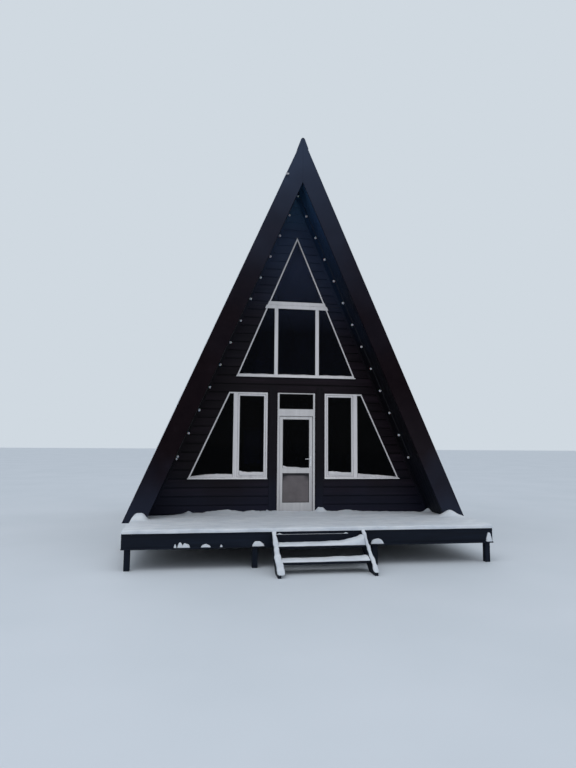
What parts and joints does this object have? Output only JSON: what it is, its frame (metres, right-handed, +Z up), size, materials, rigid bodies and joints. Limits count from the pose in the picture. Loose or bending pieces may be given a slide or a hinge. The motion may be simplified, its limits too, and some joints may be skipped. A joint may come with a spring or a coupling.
{
  "type": "a-frame cabin",
  "caption": "Steep timber A-frame cabin on a raised post platform, with recessed glazed gable, glazed hinged door, open deck, short stair and string lights.",
  "frame": {"origin": "ground level, in the middle of the footprint that the roof, deck and stair cover", "axes": "+X to the right along the front, +Y from the stair to the back wall, +Z up"},
  "size_m": [7.1, 9.965, 8.8783],
  "materials": {
    "post_timber": "dark stained, rough sawn",
    "stained_timber": "near-black brown stain, matt",
    "deck_timber": "dark stained boards",
    "floor_timber": "planed and varnished boards",
    "roof_timber": "planed lining boards over rafters",
    "roof_metal": "satin dark brown coated sheet",
    "soffit": "dark stained boards, matt",
    "siding": "dark brown stained boards, satin",
    "white_frame": "white, satin",
    "glazing": "clear, reflective",
    "lower_pane": "clear over a pale blind pane",
    "white_metal": "white, satin",
    "string_light": "frosted white bulbs on a cord",
    "insulator": "white, glossy"
  },
  "bodies": {
    "cabin": {"ground_posts": "post_timber", "cross_beams": "post_timber", "floor_joists": "post_timber", "front_fascia": "stained_timber", "side_fascias": "stained_timber", "back_fascia": "stained_timber", "deck_boards": "deck_timber", "subfloor": "deck_timber", "cabin_floor": "floor_timber", "loft_floor": "floor_timber", "stringers": "stained_timber", "treads": "stained_timber", "left_roof": "roof_timber", "right_roof": "roof_timber", "left_cladding": "roof_metal", "right_cladding": "roof_metal", "ridge_cap": "roof_metal", "front_left_rake": "roof_metal", "front_right_rake": "roof_metal", "back_left_rake": "roof_metal", "back_right_rake": "roof_metal", "front_soffits": "soffit", "back_soffits": "soffit", "front_wall_left": "siding", "front_wall_right": "siding", "front_wall_upper": "siding", "back_wall": "siding", "wall_edge_trims": "stained_timber", "door_side_trims": "stained_timber", "low_window_frames": "white_frame", "low_window_glass": "glazing", "upper_window_frame": "white_frame", "upper_window_glass": "glazing", "back_window_frames": "white_frame", "back_window_glass": "glazing", "door_frame": "white_frame", "transom_glass": "glazing", "frame_hinges": "white_metal", "string_lights": "string_light", "wire_anchor": "insulator"},
    "door": {"door_leaf": "white_frame", "leaf_upper_glass": "glazing", "leaf_lower_glass": "lower_pane", "leaf_hinges": "white_metal", "door_handle": "white_metal"}
  },
  "joints": [
    {"name": "door_swing", "type": "hinge", "parent": "cabin", "child": "door", "pos_m": [-0.332, -1.8455, 1.738], "axis": [0, 0, 1], "range_deg": [0, 100]}
  ]
}
